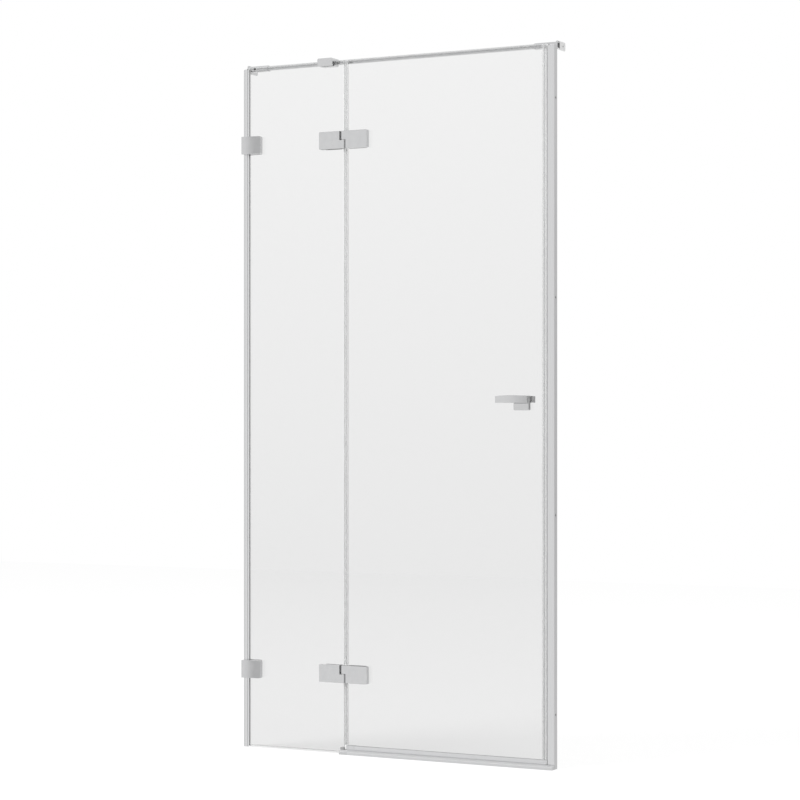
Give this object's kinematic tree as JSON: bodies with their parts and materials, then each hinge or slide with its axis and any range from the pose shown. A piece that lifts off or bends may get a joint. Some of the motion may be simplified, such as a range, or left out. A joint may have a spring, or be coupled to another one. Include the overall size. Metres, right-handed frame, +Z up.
{
  "type": "shower door",
  "caption": "Frameless glass niche shower door: fixed side panel, hinged outward-opening leaf, wall profiles, top support bar, floor sill and bar handle.",
  "frame": {"origin": "on the floor under the sill, half way between the two walls, in the middle of the glass", "axes": "+X from the left wall to the right wall seen from the bathroom, -Y towards the bathroom, +Y into the shower, +Z up"},
  "size_m": [1, 0.098, 2.01],
  "materials": {
    "chrome": "polished",
    "profile": "bright anodised",
    "glass": "clear",
    "clear_seal": "clear, slightly milky",
    "moulding": "silver grey",
    "black_plastic": "matt black",
    "black_steel": "blackened",
    "gasket": "matt grey",
    "rubber": "matt",
    "magnet": "matt, filled with magnet powder",
    "steel": "stainless",
    "nylon": "natural white"
  },
  "bodies": {
    "frame": {"upper_wall_clamp_plate": "chrome", "lower_wall_clamp_plate": "chrome", "upper_wall_clamp_back": "chrome", "lower_wall_clamp_back": "chrome", "upper_hinge_fixed_leaf": "chrome", "lower_hinge_fixed_leaf": "chrome", "upper_hinge_fixed_back_plate": "chrome", "lower_hinge_fixed_back_plate": "chrome", "support_bar": "chrome", "left_bar_bracket": "chrome", "right_bar_bracket": "chrome", "bar_saddle": "chrome", "left_wall_channel": "profile", "left_glazing_profile": "profile", "right_wall_channel": "profile", "closing_profile": "profile", "sill": "profile", "fixed_glass": "glass", "closing_seal": "clear_seal", "fixed_glass_bottom_strip": "clear_seal", "left_profile_cap": "moulding", "right_profile_cap": "moulding", "sill_end_cap": "moulding", "support_bar_plugs": "black_plastic", "bar_bracket_grub_screws": "black_steel", "left_glazing_gaskets": "gasket", "wall_clamp_pads": "gasket", "hinge_fixed_pads": "gasket", "bar_saddle_lining": "gasket", "sill_corner_stop": "rubber", "closing_magnet": "magnet", "profile_lock_screws": "steel", "wall_clamp_bolts": "steel", "hinge_fixed_bolts": "steel", "hinge_pins": "steel", "bar_saddle_grub_screws": "steel", "hinge_thrust_washers": "nylon"},
    "door": {"door_glass": "glass", "upper_hinge_door_leaf": "chrome", "lower_hinge_door_leaf": "chrome", "upper_hinge_door_back_plate": "chrome", "lower_hinge_door_back_plate": "chrome", "hinge_door_pads": "gasket", "hinge_door_bolts": "steel", "hinge_bushes": "nylon", "joint_seal": "clear_seal", "door_closing_seal": "clear_seal", "door_magnet": "magnet", "drip_rail": "profile", "drip_rail_end_block": "moulding", "drip_fin": "clear_seal", "handle_outer_base": "chrome", "handle_outer_bar": "chrome", "handle_inner_spacer": "chrome", "handle_inner_bar": "chrome", "handle_pads": "gasket", "handle_bolts": "steel", "handle_bar_screws": "steel"}
  },
  "joints": [
    {"name": "door_swing", "type": "hinge", "parent": "frame", "child": "door", "pos_m": [-0.162, -0.0115, 0], "axis": [0, 0, -1], "range_deg": [0, 95]}
  ]
}
